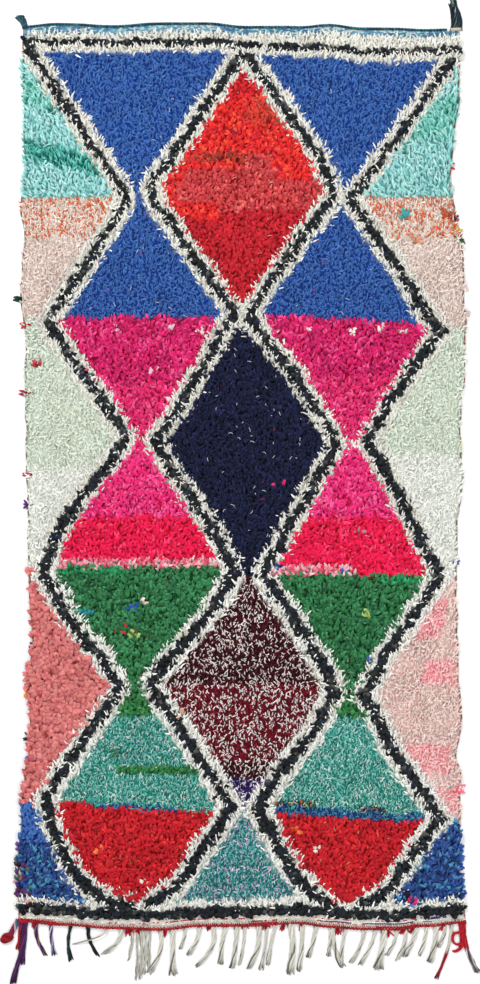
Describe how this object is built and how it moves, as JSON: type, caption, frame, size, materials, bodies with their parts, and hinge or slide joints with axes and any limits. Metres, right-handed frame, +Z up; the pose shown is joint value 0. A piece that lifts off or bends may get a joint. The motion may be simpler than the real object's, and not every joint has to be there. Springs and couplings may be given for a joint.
{
  "type": "rug",
  "caption": "Long hand-knotted rag-pile rug lying flat, with a zigzag diamond lattice, flat-woven ends, twined edge cords, corner tassels and a knotted fringe at one end.",
  "frame": {"origin": "middle of the woven cloth's underside, on the floor", "axes": "+Z up out of the pile, +Y along the rug to the end with the blue-green edge cord, the fringe at -Y"},
  "size_m": [1.2817, 2.6766, 0.0306],
  "materials": {
    "woven_cloth": "matte plain weave of wool and cotton",
    "rag_pile": "matte cut rag strips in many colours",
    "teal_cord": "matte twined yarn",
    "red_cord": "matte twined yarn",
    "ivory_warp": "matte twisted warp ends",
    "dyed_warp": "matte twisted yarn",
    "navy_yarn": "matte loose yarn"
  },
  "bodies": {
    "root": {"ground_weave": "woven_cloth", "rag_pile": "rag_pile", "top_edge_cord": "teal_cord", "bottom_edge_cord": "red_cord", "warp_fringe": "ivory_warp", "dyed_fringe": "dyed_warp", "tassel_top_left": "teal_cord", "tassel_top_right": "navy_yarn", "tassel_bottom_left": "dyed_warp", "tassel_bottom_right": "red_cord", "corner_bobble": "red_cord"}
  },
  "joints": []
}
